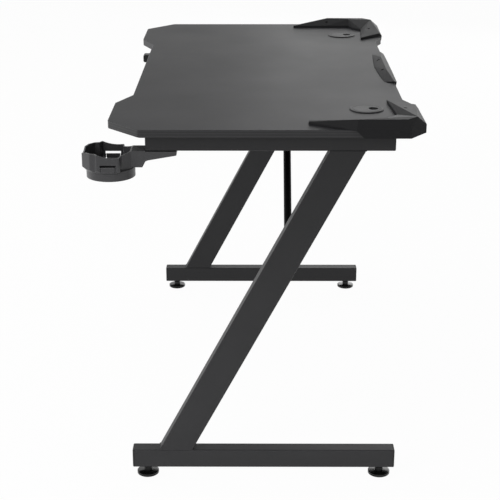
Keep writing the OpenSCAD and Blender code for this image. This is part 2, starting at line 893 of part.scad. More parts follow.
module left_corner_trim() {
    mirror([1, 0, 0]) corner_trim();
}

module right_corner_trim() {
    corner_trim();
}

// Half of the centre trim's corners: along it, in from the recessed edge, and up, as shares
centre_shares = [
    [0, 1, 0], [0, 0.96, 0.2], [0.58, 0.86, 0], [0.58, 0.82, 0.2], [0.93, 0.72, 0],
    [0.45, 0.3, 1], [1, 0.03, 0.4], [1, 0, 0]];
centre_rear_shares = [[0.45, 0.25], [0.95, 0.1]];
centre_skirt_share = 0.95;

module centre_trim() {
    edge = half_depth - rear_recess;
    depth = skirt_top - skirt_z;
    color("#1f1f21") difference() {
        union() {
            convex([for (side = [-1, 1]) each concat(
                [for (s = centre_shares) [side * s[0] * centre_half, edge - s[1] * centre_depth,
                    desk_height + s[2] * centre_h]],
                [for (s = centre_rear_shares) [side * s[0] * centre_half, edge + rear_over,
                    desk_height + s[1] * centre_h]],
                [[side * centre_skirt_share * centre_half, edge + rear_over, desk_height]])]);
            front_profile(edge, rear_over) polygon([
                [-centre_skirt_share * centre_half, skirt_top],
                [depth - centre_skirt_share * centre_half, skirt_z],
                [centre_skirt_share * centre_half - depth, skirt_z],
                [centre_skirt_share * centre_half, skirt_top]]);
        }
        both_sides() screw_well(centre_screw_place);
    }
}

module trim_screws() {
    color("#101011") both_sides() for (place = trim_screw_places)
        translate([place[0], place[1], desk_height + screw_seat]) mirror([0, 0, 1])
            bolt(wood_d, screw_seat + wood_bite - over, wood_head_d, wood_head_h);
}

/* Grommets */

module grommet() {
    hole_r = grommet_hole_d / 2;
    color("#1b1b1d") translate([grommet_x, grommet_y, 0]) rotate_extrude() polygon([
        [liner_in, board_bottom], [hole_r - fit, board_bottom], [hole_r - fit, desk_height],
        [hole_r + flange_w, desk_height], [hole_r + flange_w, desk_height + flange_t / 2],
        [hole_r + flange_w / 2, desk_height + flange_t], [liner_in, desk_height + flange_t],
        [liner_in, desk_height + flange_t - lid_t],
        [liner_in - ledge_w, desk_height + flange_t - lid_t],
        [liner_in - ledge_w, desk_height + flange_t - lid_t - liner_wall],
        [liner_in, desk_height + flange_t - lid_t - liner_wall - ledge_w]]);
}

module left_grommet() {
    mirror([1, 0, 0]) grommet();
}

module right_grommet() {
    grommet();
}

module grommet_cap() {
    color("#232325") translate([grommet_x, grommet_y, desk_height + flange_t - lid_t]) difference() {
        union() {
            cylinder(r = liner_in - cap_play, h = lid_t);
            translate([0, cable_hole_y, -collar_len])
                cylinder(d = cable_hole_d + 2 * collar_wall, h = collar_len + over);
        }
        translate([0, cable_hole_y, -collar_len - over])
            cylinder(d = cable_hole_d, h = collar_len + lid_t + 2 * over);
    }
}

module left_grommet_cap() {
    mirror([1, 0, 0]) grommet_cap();
}

module right_grommet_cap() {
    grommet_cap();
}

/* Cup holder */

// Half of the ring's outline, from its front panel to the arm, as shares of half its width:
// the front panel's end, the corner lobe, the hollow beside it, the two ends of the side panel,
// and the recessed corner at the arm
ring_half_shares = [[0.46, -1], [0.81, -0.67], [0.84, -0.49], [1, -0.42], [1, 0.42],
    [0.65, 0.47], [0.36, 0.8]];
// Roundings of those corners, as shares of a lobe's, less than nothing in a hollow
ring_round_shares = [1, 1.5, -0.75, 0.75, 1, -0.5, 0.75];
ring_back = cup_d / 2 * ring_half_shares[6][1];
// Slope under the lobes, where the ring grows out of the base
flare_drop = 4;
flare_run_share = 0.15;
// Offset of a wall along a slope of 45 degrees
slope_share = sqrt(2) - 1;
// The slots and slits of the sprung tongues
slot_w = 30;
slot_h = 5;
slot_drop = 22;
slit_w = 0.8;
slit_end_d = 2.4;
slit_len = 11;

// The ring's outline seen from above, moved inwards by a wall
module ring_profile(wall) {
    half = [for (share = ring_half_shares) share * cup_d / 2];
    radii = [for (share = ring_round_shares)
        share > 0 ? max(share * lobe_r - wall, 0) : wall - share * lobe_r];
    polygon(rounded(
        inset(concat(half, [for (i = [len(half) - 1 : -1 : 0]) [-half[i][0], half[i][1]]]), wall),
        concat(radii, [for (i = [len(radii) - 1 : -1 : 0]) radii[i]])));
}

// The lobed ring's solid on its slope, moved inwards by a wall
module ring_solid(wall) {
    low = cup_base_h - flare_drop + slope_share * wall;
    radius = cup_base_d / 2 - wall;
    run = cup_d * flare_run_share;
    intersection() {
        translate([0, 0, low]) linear_extrude(height = cup_h + over) ring_profile(wall);
        union() {
            translate([0, 0, low]) cylinder(r1 = radius, r2 = radius + run, h = run);
            translate([0, 0, low + run]) cylinder(r = radius + run, h = cup_h);
        }
    }
}

// A slot, and under its ends two slits with round ends, that free a sprung tongue in the wall
module tongue_cut() {
    top = cup_h - slot_drop;
    low = top - slit_len;
    block([0, -slot_w / 2, top - slot_h / 2], [cup_d, slot_w, slot_h]);
    for (side = [-1, 1]) translate([0, side * (slot_w - slit_end_d) / 2, 0]) {
        block([0, -slit_w / 2, low], [cup_d, slit_w, slit_len]);
        translate([0, 0, low]) rotate([0, 90, 0]) cylinder(d = slit_end_d, h = cup_d);
    }
}

// The arm's step below the rail's front end: its corner, its depth and its two heights
arm_corner_r = 4;
arm_step = 6;
arm_step_shares = [0.58, 0.64];
// Gap between the arm and the rail, and the bosses round the screws that bridge it
arm_gap = 1.5;
boss_d = 16;
// The dips' half-width, their shift towards the arm, and each one's direction and share of the shift
rim_dip_share = 0.3;
rim_shift = 11;
rim_dip_turns = [[0, 1], [180, -1], [270, 0]];

// The arm's profile, from its end under the rail to its root in the cup's wall
module arm_profile() {
    end_y = rail_front + arm_len;
    root_y = cup_y + ring_back - cup_wall / 2;
    polygon(rounded([
        [end_y, rail_z - arm_gap], [rail_front, rail_z - arm_gap], [rail_front - arm_gap, rail_z],
        [root_y, rail_z], [root_y, rail_z - arm_root_h],
        [rail_front - arm_step, rail_z - arm_root_h],
        [rail_front, rail_z - arm_root_h * arm_step_shares[1]],
        [rail_front + arm_corner_r, rail_z - arm_root_h * arm_step_shares[0]],
        [end_y, rail_z - arm_end_t]],
        [0, 0, 0, 0, 0, arm_corner_r / 2, arm_corner_r / 4, arm_corner_r / 4, arm_corner_r / 2]));
}

module cup_holder() {
    dip_half = cup_d * rim_dip_share;
    dip_r = (dip_half * dip_half + rim_dip * rim_dip) / (2 * rim_dip);
    color("#2a2a2c") difference() {
        union() {
            translate([cup_x, cup_y, cup_floor]) intersection() {
                union() {
                    cylinder(d = cup_base_d, h = cup_base_h);
                    ring_solid(0);
                }
                cylinder(d = 2 * cup_d, h = cup_h);
            }
            side_profile(rail_x, rail_w) arm_profile();
            for (y = tap_ys) translate([rail_mid_x, y, rail_z - arm_gap - over])
                cylinder(d = boss_d, h = arm_gap + over);
        }
        translate([cup_x, cup_y, cup_floor]) {
            inside_d = cup_base_d - 2 * cup_wall;
            translate([0, 0, cup_wall]) {
                cylinder(d = inside_d, h = cup_base_h - 2 * cup_wall);
                intersection() {
                    cylinder(d = inside_d, h = cup_h);
                    linear_extrude(height = cup_h) ring_profile(cup_wall);
                }
            }
            ring_solid(cup_wall);
            for (dip = rim_dip_turns) rotate([0, 0, dip[0]]) {
                tongue_cut();
                translate([0, dip[1] * rim_shift, cup_h + dip_r - rim_dip]) rotate([0, 90, 0])
                    cylinder(r = dip_r, h = cup_d);
            }
        }
        for (y = tap_ys) tap_well(y);
    }
}

// Clears a bracket below a self-tapping screw's head and round its shank
module tap_well(y) {
    translate([rail_mid_x, y, rail_z - hook_drop])
        cylinder(d = tap_head_d + 2 * fit, h = hook_drop - tap_seat);
    translate([rail_mid_x, y, rail_z - tap_seat - over])
        cylinder(d = tap_d + 2 * fit, h = tap_seat + 2 * over);
}

module tap_screws() {
    color("#101011") for (y = tap_ys) translate([rail_mid_x, y, rail_z - tap_seat])
        bolt(tap_d, tap_seat + tap_end, tap_head_d, tap_head_h);
}

module cup_holder_screws() {
    tap_screws();
}

/* Headphone hook */

// Places along the hook from its nose, as shares of its reach: the back of the gap from the rail
// down to the saddle, the front of the saddle, and the outer side of the back
hook_gap_shares = [0.92, 0.83, 0.79, 0.7];
hook_saddle_shares = [0.31, 0.21];
hook_back_shares = [0.72, 0.92, 1.01];
hook_base_t = 8;
hook_r = 4;

module hook() {
    nose_y = rail_front - hook_reach;
    end_y = rail_front + arm_len;
    low = rail_z - hook_drop;
    top = low + hook_nose_h;
    gap_ys = [for (share = hook_gap_shares) nose_y + hook_reach * share];
    saddle_ys = [for (share = hook_saddle_shares) nose_y + hook_reach * share];
    back_ys = [for (share = hook_back_shares) nose_y + hook_reach * share];
    color("#1a1a1b") difference() {
        side_profile(rail_mid_x - hook_w / 2, hook_w) polygon(rounded([
            [end_y, rail_z], [gap_ys[0], rail_z], [gap_ys[1], rail_z - hook_base_t],
            [gap_ys[2], top], [gap_ys[3], top - saddle_depth], [saddle_ys[0], top - saddle_depth],
            [saddle_ys[1], top], [nose_y, top], [nose_y, low],
            [back_ys[0], low], [back_ys[1], top - hook_base_t],
            [back_ys[2], rail_z - hook_base_t], [end_y, rail_z - hook_base_t]],
            [for (i = [0 : 12]) i % 12 == 0 ? 0 : hook_r]));
        for (y = tap_ys) tap_well(y);
    }
}

module headphone_hook() {
    mirror([1, 0, 0]) hook();
}

module hook_screws() {
    mirror([1, 0, 0]) tap_screws();
}

desktop();
edge_band();
left_rail();
right_rail();
left_diagonal();
right_diagonal();
left_foot_tube();
right_foot_tube();
left_rail_caps();
right_rail_caps();
left_foot_caps();
right_foot_caps();
front_beam();
rear_beam();
front_beam_plates();
rear_beam_plates();
beam_bolts();
beam_nuts();
beam_screws();
rail_bolts();
board_inserts();
left_brace();
right_brace();
brace_bolts();
brace_nuts();
front_left_pad();
front_right_pad();
rear_left_pad();
rear_right_pad();
front_left_stud();
front_right_stud();
rear_left_stud();
rear_right_stud();
foot_nuts();
left_corner_trim();
right_corner_trim();
centre_trim();
trim_screws();
left_grommet();
right_grommet();
left_grommet_cap();
right_grommet_cap();
cup_holder();
cup_holder_screws();
headphone_hook();
hook_screws();
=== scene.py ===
"""Gaming desk: the finishes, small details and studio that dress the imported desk."""

import json
import math

import bmesh
import bpy
from mathutils import Matrix, Vector

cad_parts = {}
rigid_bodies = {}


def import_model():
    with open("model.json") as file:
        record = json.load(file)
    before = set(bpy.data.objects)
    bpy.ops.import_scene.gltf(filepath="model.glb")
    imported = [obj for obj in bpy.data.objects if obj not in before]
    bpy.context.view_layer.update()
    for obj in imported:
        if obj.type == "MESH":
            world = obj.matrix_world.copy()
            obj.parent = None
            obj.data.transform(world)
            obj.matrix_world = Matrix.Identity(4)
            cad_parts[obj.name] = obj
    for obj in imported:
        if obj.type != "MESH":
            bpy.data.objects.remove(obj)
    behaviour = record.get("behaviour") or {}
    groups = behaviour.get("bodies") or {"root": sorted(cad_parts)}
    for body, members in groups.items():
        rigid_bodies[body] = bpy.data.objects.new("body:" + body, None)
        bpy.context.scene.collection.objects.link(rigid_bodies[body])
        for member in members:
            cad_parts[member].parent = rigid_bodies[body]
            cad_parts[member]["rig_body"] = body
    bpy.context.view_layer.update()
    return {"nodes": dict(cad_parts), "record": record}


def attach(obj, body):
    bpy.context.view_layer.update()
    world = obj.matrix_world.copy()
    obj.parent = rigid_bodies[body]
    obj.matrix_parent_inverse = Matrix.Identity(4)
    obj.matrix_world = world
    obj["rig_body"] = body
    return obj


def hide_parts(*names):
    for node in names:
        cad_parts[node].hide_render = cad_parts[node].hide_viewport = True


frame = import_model()

bl_info = {
    "name": "Gaming desk",
    "version": (1, 0, 0),
    "blender": (4, 5, 0),
    "location": "3D View > Sidebar > Desk",
    "description": "Finishes and small details of a gaming desk on Z-shaped side frames",
    "category": "Add Mesh",
}

MM = 0.001
UP, DOWN = Vector((0, 0, 1)), Vector((0, 0, -1))
SIDES = ("left", "right")
SLOTS = {row["node"]: row["material_slot"] for row in frame["record"]["subparts"]}

# The material of each slot, which the first operator makes
FINISHES = {}


# ---- Colours and materials


def colour(code):
    """Turns an sRGB hex value into linear RGBA."""
    parts = [int(code[i : i + 2], 16) / 255 for i in (1, 3, 5)]
    linear = [p / 12.92 if p <= 0.04045 else ((p + 0.055) / 1.055) ** 2.4 for p in parts]
    return (*linear, 1.0)


def cleared_tree(owner):
    """The emptied node tree of a material or a world."""
    owner.use_nodes = True
    owner.node_tree.nodes.clear()
    return owner.node_tree


def add_node(tree, kind, inputs=None, **settings):
    """Adds a node, makes its settings, and sets or links its inputs."""
    node = tree.nodes.new(kind)
    for name, value in settings.items():
        setattr(node, name, value)
    for name, value in (inputs or {}).items():
        if isinstance(value, bpy.types.NodeSocket):
            tree.links.new(value, node.inputs[name])
        else:
            node.inputs[name].default_value = value
    return node


def calculate(tree, operation, *values):
    """What a Math node makes of one or two values."""
    inputs = dict(enumerate(values))
    return add_node(tree, "ShaderNodeMath", inputs, operation=operation).outputs["Value"]


def noise(tree, place, size_mm, detail):
    """Cloudy patches about a size apart, from 0 to 1."""
    inputs = {"Vector": place, "Scale": 1 / (size_mm * MM), "Detail": detail}
    return add_node(tree, "ShaderNodeTexNoise", inputs).outputs["Fac"]


def between(tree, pattern, low, high):
    """A pattern of 0 to 1, brought between two levels."""
    inputs = {"Value": pattern, "To Min": low, "To Max": high}
    return add_node(tree, "ShaderNodeMapRange", inputs).outputs["Result"]


def blend(tree, pattern, dark, light):
    """A colour that follows a pattern of 0 to 1 from dark to light."""
    inputs = {"Factor": pattern, "A": dark, "B": light}
    return add_node(tree, "ShaderNodeMix", inputs, data_type="RGBA").outputs["Result"]


def relief(tree, pattern, depth_mm, strength, **under):
    """The normal of a surface that a pattern raises, which may lie on another relief."""
    inputs = {"Height": pattern, "Distance": depth_mm * MM, "Strength": strength, **under}
    return add_node(tree, "ShaderNodeBump", inputs).outputs["Normal"]


def empty_material(name):
    """A material with no nodes but the object coordinates that its patterns read."""
    material = bpy.data.materials.new(name)
    tree = cleared_tree(material)
    place = add_node(tree, "ShaderNodeTexCoord").outputs["Object"]
    return material, tree, place


def finished(material, tree, inputs):
    """Gives the material a Principled surface with these inputs."""
    shader = add_node(tree, "ShaderNodeBsdfPrincipled", inputs)
    add_node(tree, "ShaderNodeOutputMaterial", {"Surface": shader.outputs["BSDF"]})
    return material


def embossed_foil_board():
    """Fibreboard under a black PVC foil, pressed against an embossed plate.

    The eye sees a dark, even satin that turns mid-grey where it mirrors a pale room at a low
    angle, with a fine pebble in it and slow changes of gloss where hands have wiped it.
    """
    material, tree, place = empty_material("Embossed black PVC foil on fibreboard")
    # Pebbles of the embossing, 1.1 mm across
    pebble = add_node(
        tree,
        "ShaderNodeTexVoronoi",
        {"Vector": place, "Scale": 1 / (1.1 * MM)},
        feature="SMOOTH_F1",
    )
    # Fibres of the board that telegraph through the foil, 9 mm apart
    fibre = noise(tree, place, size_mm=9, detail=4.0)
    # Wiped patches, about 160 mm across
    wiped = noise(tree, place, size_mm=160, detail=3.0)
    low = relief(tree, fibre, depth_mm=0.04, strength=0.5)
    return finished(
        material,
        tree,
        {
            "Base Color": blend(tree, fibre, colour("#19191b"), colour("#1f1f21")),
            "Roughness": between(tree, wiped, 0.41, 0.49),
            "IOR": 1.5,
            "Specular IOR Level": 0.08,
            "Normal": relief(tree, pebble.outputs["Distance"], 0.05, 0.6, Normal=low),
        },
    )


def extruded_abs_band():
    """Black ABS edge banding, extruded, glued and scraped flush.

    The eye sees a duller black than the top's, with faint lines along the edge.
    """
    material, tree, place = empty_material("Extruded black ABS edge band")
    # Scraper lines that follow the edge, 0.6 mm apart and about 40 mm long
    lines = add_node(
        tree, "ShaderNodeMapping", {"Vector": place, "Scale": (25.0, 25.0, 1 / (0.6 * MM))}
    ).outputs["Vector"]
    scrape = add_node(
        tree, "ShaderNodeTexNoise", {"Vector": lines, "Scale": 1.0, "Detail": 2.0}
    ).outputs["Fac"]
    streaks = blend(tree, scrape, colour("#1c1c1d"), colour("#242425"))
    # Painted highlights on the extrusion's ribs, 5 mm apart up the edge
    height = add_node(tree, "ShaderNodeSeparateXYZ", {"Vector": place}).outputs["Z"]
    wave = calculate(tree, "SINE", calculate(tree, "MULTIPLY", height, 2 * math.pi / (5 * MM)))
    rib_highlight = add_node(
        tree, "ShaderNodeMapRange", {"Value": wave, "From Min": 0.5, "From Max": 1.0}
    ).outputs["Result"]
    return finished(
        material,
        tree,
        {
            # Lighter along the ribs: painted highlight
            "Base Color": blend(tree, rib_highlight, streaks, colour("#303032")),
            "Roughness": 0.48,
            "IOR": 1.52,
            "Specular IOR Level": 0.35,
            "Normal": relief(tree, scrape, depth_mm=0.05, strength=0.5),
        },
    )


def coated_steel(name, dark, light, roughness, specular):
    """Steel with a black powder coat, sprayed and baked.

    The eye sees a soft sheen broken by a low orange peel, and a few slow cloudy changes of tone.
    """
    material, tree, place = empty_material(name)
    # Orange peel, 1.8 mm from crest to crest
    peel = noise(tree, place, size_mm=1.8, detail=1.0)
    # Clouds of coat thickness, about 70 mm across
    cloud = noise(tree, place, size_mm=70, detail=3.0)
    return finished(
        material,
        tree,
        {
            "Base Color": blend(tree, cloud, colour(dark), colour(light)),
            "Roughness": between(tree, cloud, roughness - 0.05, roughness + 0.05),
            "IOR": 1.5,
            "Specular IOR Level": specular,
            "Normal": relief(tree, peel, depth_mm=0.06, strength=0.6),
        },
    )


def moulded_plastic(name, dark, light, roughness, grain_mm, depth_mm, specular):
    """Black injection-moulded plastic from a spark-eroded mould.

    The eye sees an even, slightly grainy skin whose gloss drops with the grain's depth.
    """
    material, tree, place = empty_material(name)
    # Pits of the eroded mould
    grain = noise(tree, place, grain_mm, detail=4.0)
    # Flow of the plastic in the mould, about 45 mm wide
    flow = noise(tree, place, size_mm=45, detail=2.0)
    return finished(
        material,
        tree,
        {
            "Base Color": blend(tree, grain, colour(dark), colour(light)),
            "Roughness": between(tree, flow, roughness - 0.04, roughness + 0.04),
            "IOR": 1.52,
            "Specular IOR Level": specular,
            "Normal": relief(tree, grain, depth_mm, strength=0.7),
        },
    )


def plated_steel(name, dark, light, roughness, glance):
    """Turned or pressed steel with a thin zinc or black oxide skin.

    The eye sees a dull metal with small blotches of the bath. The glance colour is what it turns
    to at a low angle: an oiled black oxide stays dark there.
    """
    material, tree, place = empty_material(name)
    # Blotches of the plating bath, 2.5 mm across
    blotch = noise(tree, place, size_mm=2.5, detail=5.0)
    return finished(
        material,
        tree,
        {
            "Base Color": blend(tree, blotch, colour(dark), colour(light)),
            "Metallic": 1.0,
            "Specular Tint": colour(glance),
            "Roughness": between(tree, blotch, roughness - 0.08, roughness + 0.08),
            "Normal": relief(tree, blotch, depth_mm=0.03, strength=0.4),
        },
    )


# Slot: name, dark and light tone, roughness, specular level
COATS = {
    "frame_paint": ("Black powder-coated steel", "#202021", "#272728", 0.5, 0.26),
    # Painted shade: the brace is a near-black, barely glossy copy of the frame's coat
    "brace_paint": ("Black powder-coated brace tube in painted shade", "#020202", "#040404", 0.6, 0.1),
    "foot_steel": ("Black coated foot stud", "#0a0a0a", "#101010", 0.35, 0.5),
}
# Slot: name, dark and light tone, roughness, width and depth of the grain in mm, specular level
PLASTICS = {
    "cap_plastic": ("Moulded black polyethylene", "#101011", "#161617", 0.55, 0.9, 0.06, 0.35),
    "foot_plastic": ("Polished black ABS", "#050505", "#080808", 0.16, 3.0, 0.02, 0.5),
    "trim_plastic": ("Grained black ABS trim", "#242425", "#2c2c2d", 0.42, 0.8, 0.03, 0.02),
    "grommet_plastic": ("Grained black ABS grommet", "#2a2a2b", "#323233", 0.42, 0.8, 0.04, 0.06),
    "holder_plastic": ("Moulded black polypropylene", "#343436", "#3d3d3e", 0.36, 0.9, 0.04, 0.35),
    "hook_plastic": ("Moulded black polypropylene hook", "#060606", "#0b0b0b", 0.5, 0.9, 0.06, 0.3),
}
# Slot: name, dark and light tone, roughness, colour at a low angle
PLATINGS = {
    "black_steel": ("Black oxide steel", "#0c0c0c", "#141414", 0.5, "#303030"),
    "zinc_steel": ("Zinc-plated steel", "#8b8a84", "#a3a29a", 0.35, "#ffffff"),
}


def make_finishes():
    """One material for each material slot of the record."""
    return {
        "board_laminate": embossed_foil_board(),
        "edge_band": extruded_abs_band(),
        **{slot: coated_steel(*row) for slot, row in COATS.items()},
        **{slot: moulded_plastic(*row) for slot, row in PLASTICS.items()},
        **{slot: plated_steel(*row) for slot, row in PLATINGS.items()},
    }


def finish_nodes():
    """Gives every CAD node the finish of its slot."""
    for name, node in frame["nodes"].items():
        node.data.materials.clear()
        node.data.materials.append(FINISHES[SLOTS[name]])


# ---- Pieces

# CAD vertices nearer than this are one, and so are faces that meet flatter than this
MERGE = 0.02 * MM
FLAT_DEG = 0.4

# Faces that meet flatter than this are always shaded as one surface. Above it they are only where
# neither is this many times as large as the other, as along a curve
ALWAYS_SMOOTH_DEG = 1.0
LIKE_SIZED = 3.0


def merged_copy(name):
    """A copy of a CAD node whose faces share their vertices."""
    shape = bmesh.new()
    shape.from_mesh(frame["nodes"][name].data)
    bmesh.ops.remove_doubles(shape, verts=shape.verts, dist=MERGE)
    return shape


def join_flat_faces(shape, delimit):
    """Makes one face of the triangles that lie in one plane."""
    bmesh.ops.dissolve_limit(
        shape,
        angle_limit=math.radians(FLAT_DEG),
        verts=shape.verts,
        edges=shape.edges,
        delimit=delimit,
    )


def crease(shape, smooth_deg):
    """Shades curves smooth and keeps flat facets flat, up to the small faces that round them off."""
    shape.faces.index_update()
    areas = [face.calc_area() for face in shape.faces]
    for face in shape.faces:
        face.smooth = True
    for edge in shape.edges:
        if not edge.is_manifold:
            continue
        angle = math.degrees(edge.calc_face_angle())
        small, large = sorted(areas[face.index] for face in edge.link_faces)
        alike = large < LIKE_SIZED * small
        edge.smooth = angle < ALWAYS_SMOOTH_DEG or (angle < smooth_deg and alike)


def add_piece(shape, name, body, slot, smooth_deg):
    """Makes an object of the shape that rides on a body and takes the finish of a slot."""
    crease(shape, smooth_deg)
    mesh = bpy.data.meshes.new(name)
    shape.to_mesh(mesh)
    shape.free()
    mesh.materials.append(FINISHES[slot])
    piece = bpy.data.objects.new(name, mesh)
    bpy.context.scene.collection.objects.link(piece)
    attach(piece, body)
    return piece


def put_in(shape, name, smooth_deg=35.0):
    """Puts a shape in the place of a CAD node, on the same body and in the same finish."""
    body = frame["nodes"][name]["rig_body"]
    piece = add_piece(shape, f"{name}_dressed", body, SLOTS[name], smooth_deg)
    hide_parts(name)


def dress(name, edge, sharp_deg=25.0, segments=2, **options):
    """Puts in a copy of a CAD node with its sharp edges rounded off."""
    shape = merged_copy(name)
    join_flat_faces(shape, delimit={"NORMAL"})
    limit = math.radians(sharp_deg)
    sharp = [e for e in shape.edges if e.is_manifold and e.calc_face_angle() > limit]
    bmesh.ops.bevel(
        shape,
        geom=sharp,
        offset=edge,
        offset_type="OFFSET",
        segments=segments,
        profile=0.5,
        affect="EDGES",
        clamp_overlap=True,
        material=-1,
    )
    put_in(shape, name, **options)


# ---- Screws and bolts

# A face is a head when it faces this squarely and its radius is this near to the head's
FACING = 0.999
HEAD_SLACK = 0.25 * MM

# The floor of a recess is this share of its mouth
TAPER = 0.8
CUT_SLACK = 0.001 * MM

# Turns of a recess's bars, half length, half width and depth in mm. Three bars make a hexagon
# whose flats are a half length from its middle
CROSS_TURNS = (0.0, math.pi / 2)
HEXAGON_TURNS = (0.0, math.pi / 3, 2 * math.pi / 3)
CROSS = (CROSS_TURNS, 2.0, 0.5, 1.2)
SOCKET = (HEXAGON_TURNS, 2.5, 2.5 / math.sqrt(3), 2.0)
SHALLOW_SOCKET = (HEXAGON_TURNS, 2.3, 2.3 / math.sqrt(3), 1.2)

# Node, the way its heads face, their radius in mm, and the recess in them
HEADS = (
    ("trim_screws", UP, 3.5, SHALLOW_SOCKET),
    ("beam_screws", DOWN, 3.5, CROSS),
    ("cup_holder_screws", DOWN, 4.5, CROSS),
    ("hook_screws", DOWN, 4.5, CROSS),
    ("rail_bolts", DOWN, 5.75, SOCKET),
)


def flat_faces(shape, normal, radius_mm):
    """The flat round faces of the shape that face a way and have a radius, such as heads."""
    found = []
    for face in shape.faces:
        if face.normal.dot(normal) < FACING:
            continue
        middle = face.calc_center_median()
        reach = max((vert.co - middle).length for vert in face.verts)
        if abs(reach - radius_mm * MM) < HEAD_SLACK:
            found.append(face)
    return found


def sink_recess(shape, face, turns, half_length_mm, half_width_mm, depth_mm):
    """Cuts a driver's recess into a flat head: one bar per turn, each through the middle."""
    middle, normal = face.calc_center_median(), face.normal.copy()
    first = normal.orthogonal().normalized()
    bars = [Matrix.Rotation(turn, 3, normal) @ first for turn in turns]

    def in_a_bar(part):
        offset = part.calc_center_median() - middle
        return any(
            abs(offset.dot(along)) < half_length_mm * MM
            and abs(offset.dot(normal.cross(along))) < half_width_mm * MM
            for along in bars
        )

    geom = [face, *face.edges, *face.verts]
    for along in bars:
        for way, half_mm in ((along, half_length_mm), (normal.cross(along), half_width_mm)):
            for sign in (-1, 1):
                geom = bmesh.ops.bisect_plane(
                    shape,
                    geom=geom,
                    dist=CUT_SLACK,
                    plane_co=middle + way * (sign * half_mm) * MM,
                    plane_no=way,
                )["geom"]
    inside = [item for item in geom if isinstance(item, bmesh.types.BMFace) and in_a_bar(item)]
    sunk = bmesh.ops.extrude_face_region(shape, geom=inside)
    verts = [item for item in sunk["geom"] if isinstance(item, bmesh.types.BMVert)]
    drop = normal * depth_mm * MM
    about = Matrix.Translation(drop - middle)
    bmesh.ops.translate(shape, verts=verts, vec=-drop)
    bmesh.ops.scale(shape, verts=verts, vec=(TAPER, TAPER, TAPER), space=about)
    bmesh.ops.delete(shape, geom=inside, context="FACES")


def dress_heads(name, way, radius_mm, recess):
    """Puts in a copy of a node's screws with a recess in every head."""
    shape = merged_copy(name)
    join_flat_faces(shape, delimit=set())
    heads = flat_faces(shape, way, radius_mm)
    if not heads:
        raise RuntimeError(f"{name}: no heads found")
    for face in heads:
        sink_recess(shape, face, *recess)
    put_in(shape, name)


# ---- Threads

# Heights above the origin at which a stud's shank and the thread on it begin
SHANK_FOOT = 20.05 * MM
THREAD_FOOT = 20.3 * MM
# What is left of the CAD's shank under the thread
CORE_SHARE = 0.84
PITCH = 1.25 * MM
ROOT_RADIUS = 3.3 * MM
CREST_RADIUS = 3.95 * MM
# One turn of the thread: radius, and height in pitches
TURN_PROFILE = ((ROOT_RADIUS, 0.0), (CREST_RADIUS, 0.42), (CREST_RADIUS, 0.58), (ROOT_RADIUS, 1.0))
STEPS_PER_TURN = 24
THREAD_SLACK = 0.01 * MM
THREAD_MERGE = 0.002 * MM


def threaded_stud(name):
    """Puts in a foot's stud with a rolled M8 thread above its collar."""
    shape = merged_copy(name)
    xs, ys, zs = zip(*(vert.co for vert in shape.verts))
    axis = Vector(((min(xs) + max(xs)) / 2, (min(ys) + max(ys)) / 2, 0.0))
    shank = [v for v in shape.verts if v.co.z > SHANK_FOOT]
    slimmer = (CORE_SHARE, CORE_SHARE, 1.0)
    bmesh.ops.scale(shape, verts=shank, vec=slimmer, space=Matrix.Translation(-axis))
    profile = []
    for radius, rise in TURN_PROFILE:
        place = axis + Vector((radius, 0.0, THREAD_FOOT + rise * PITCH))
        profile += bmesh.ops.create_vert(shape, co=place)["vert"]
    edges = [shape.edges.new(pair) for pair in zip(profile, profile[1:])]
    turns = math.floor((max(zs) - THREAD_FOOT) / PITCH) - 1
    bmesh.ops.spin(
        shape,
        geom=profile + edges,
        cent=axis,
        axis=(0.0, 0.0, 1.0),
        dvec=(0.0, 0.0, PITCH / STEPS_PER_TURN),
        angle=2 * math.pi * turns,
        steps=STEPS_PER_TURN * turns,
        use_merge=False,
        use_duplicate=False,
    )
    reach = CREST_RADIUS + THREAD_SLACK
    thread = [f for f in shape.faces if all((v.co - axis).xy.length < reach for v in f.verts)]
    above = [v for v in shape.verts if v.co.z > THREAD_FOOT]
    bmesh.ops.remove_doubles(shape, verts=above, dist=THREAD_MERGE)
    bmesh.ops.recalc_face_normals(shape, faces=[f for f in thread if f.is_valid])
    put_in(shape, name)


# ---- Weld seams

# Ripples of a seam, and how far short of a diagonal's outer side it stops
BEAD_RADIUS = 1.2 * MM
BEAD_STEP = 1.1 * MM
SEAM_INSET = 1.5 * MM
# A diagonal's vertices this near to its end belong to that end
END_SLACK = 0.2 * MM


def weld_bead(name, points):
    """A row of overlapping ripples along a path, like a welded seam under its paint."""
    shape = bmesh.new()
    ripple = Matrix.Scale(BEAD_RADIUS, 4)
    for start, end in zip(points, points[1:]):
        run = end - start
        count = max(2, round(run.length / BEAD_STEP))
        for i in range(count + 1):
            place = Matrix.Translation(start + run * (i / count)) @ ripple
            bmesh.ops.create_icosphere(shape, subdivisions=2, radius=1.0, matrix=place)
    add_piece(shape, name, "desk", "frame_paint", smooth_deg=80)


def seam_path(node, end):
    """Three sides of a diagonal's end, on the tube it meets: its front, inner side and rear."""
    verts = [v.co for v in frame["nodes"][node].data.vertices]
    heights = [v.z for v in verts]
    level = max(heights) if end == "top" else min(heights)
    ring = [v for v in verts if abs(v.z - level) < END_SLACK]
    front, rear = min(v.y for v in ring), max(v.y for v in ring)
    side = math.copysign(1.0, ring[0].x)
    inner = side * min(abs(v.x) for v in ring)
    outer = side * (max(abs(v.x) for v in ring) - SEAM_INSET)
    corners = ((outer, front), (inner, front), (inner, rear), (outer, rear))
    return [Vector((*corner, level)) for corner in corners]


# ---- Add-on


